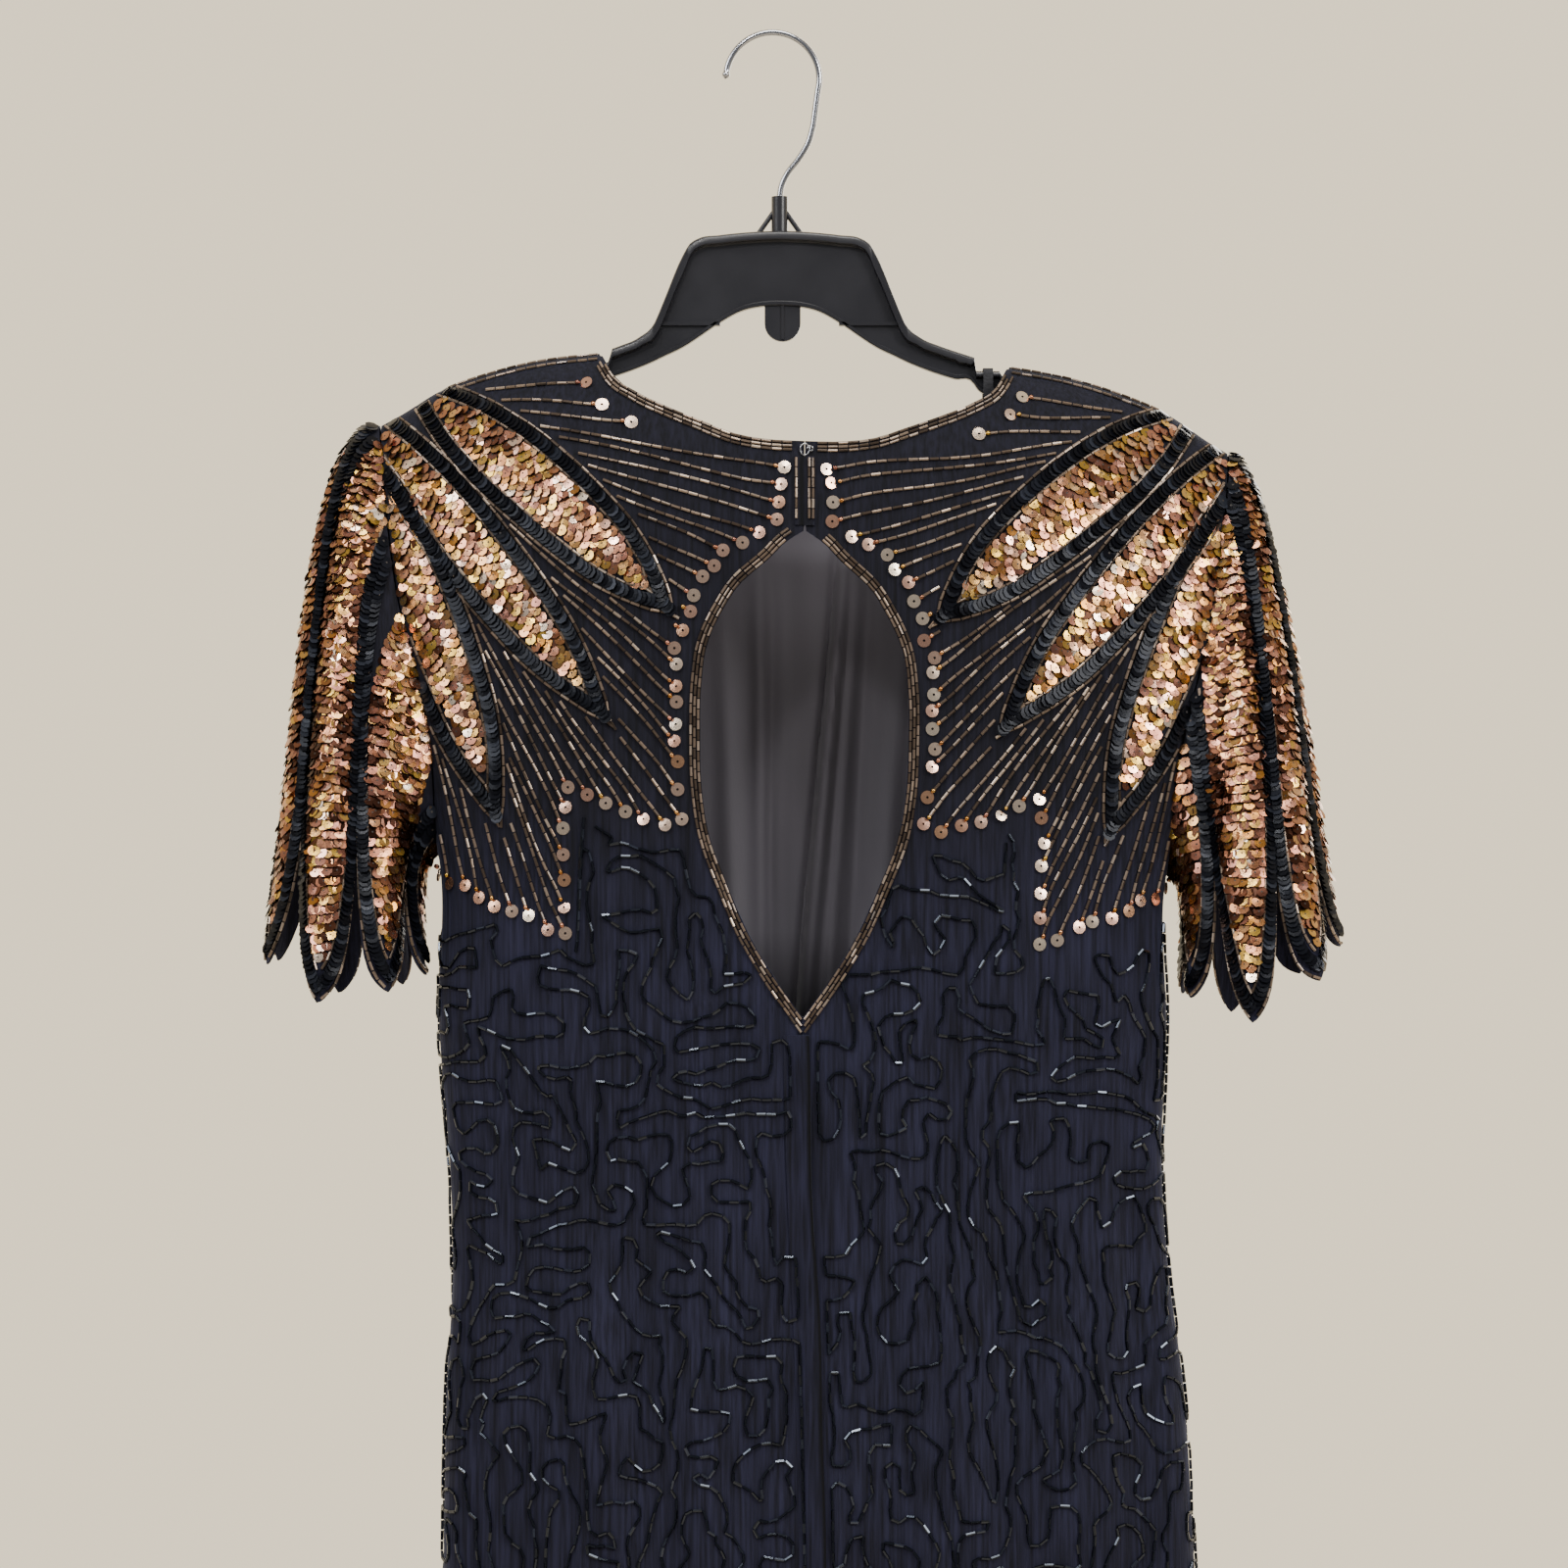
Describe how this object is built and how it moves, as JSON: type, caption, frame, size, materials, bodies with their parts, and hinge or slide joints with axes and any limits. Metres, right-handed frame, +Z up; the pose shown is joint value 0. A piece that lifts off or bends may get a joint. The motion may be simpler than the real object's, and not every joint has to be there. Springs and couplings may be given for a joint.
{
  "type": "beaded dress on a hanger",
  "caption": "Knee-length beaded dress with petal sleeves and a keyhole back, hanging open and hollow on a moulded hanger with a wire hook.",
  "frame": {"origin": "the underside of the top of the wire hook, where a rail or peg carries the hanger", "axes": "+Z up; +X to the right as one looks at the back of the dress; the back faces -Y and the front faces +Y"},
  "size_m": [0.5503, 0.1052, 1.1672],
  "materials": {
    "crepe": "crinkled sheer crepe, matt, with a soft sheen",
    "satin": "charcoal lining satin, soft sheen",
    "gold_sequins": "cupped metallic sequins in mixed gold, copper and rose",
    "black_sequins": "cupped gloss sequins, black",
    "bronze_beads": "metal-lined bronze bugle beads",
    "black_beads": "black glass bugle beads, polished",
    "ribbon": "matt black ribbon",
    "black_plastic": "black moulded plastic, half gloss",
    "steel": "plated steel wire"
  },
  "bodies": {
    "root": {"back_left": "crepe", "back_right": "crepe", "front": "crepe", "front_lining": "satin", "sleeve_left": "gold_sequins", "sleeve_right": "gold_sequins", "leaf_back_left_1": "gold_sequins", "leaf_back_left_2": "gold_sequins", "leaf_back_left_3": "gold_sequins", "leaf_back_right_1": "gold_sequins", "leaf_back_right_2": "gold_sequins", "leaf_back_right_3": "gold_sequins", "leaf_front_left_1": "gold_sequins", "leaf_front_left_2": "gold_sequins", "leaf_front_left_3": "gold_sequins", "leaf_front_right_1": "gold_sequins", "leaf_front_right_2": "gold_sequins", "leaf_front_right_3": "gold_sequins", "neck_binding_left": "bronze_beads", "neck_binding_right": "bronze_beads", "neck_binding_front": "bronze_beads", "keyhole_binding_left": "bronze_beads", "keyhole_binding_right": "bronze_beads", "neck_placket": "crepe", "zip_lap": "crepe", "zip_tape": "ribbon", "neck_hook_and_eye": "steel", "hanger_loop_left": "ribbon", "hanger_loop_right": "ribbon", "hanger_body": "black_plastic", "hanger_hook": "steel"}
  },
  "joints": []
}
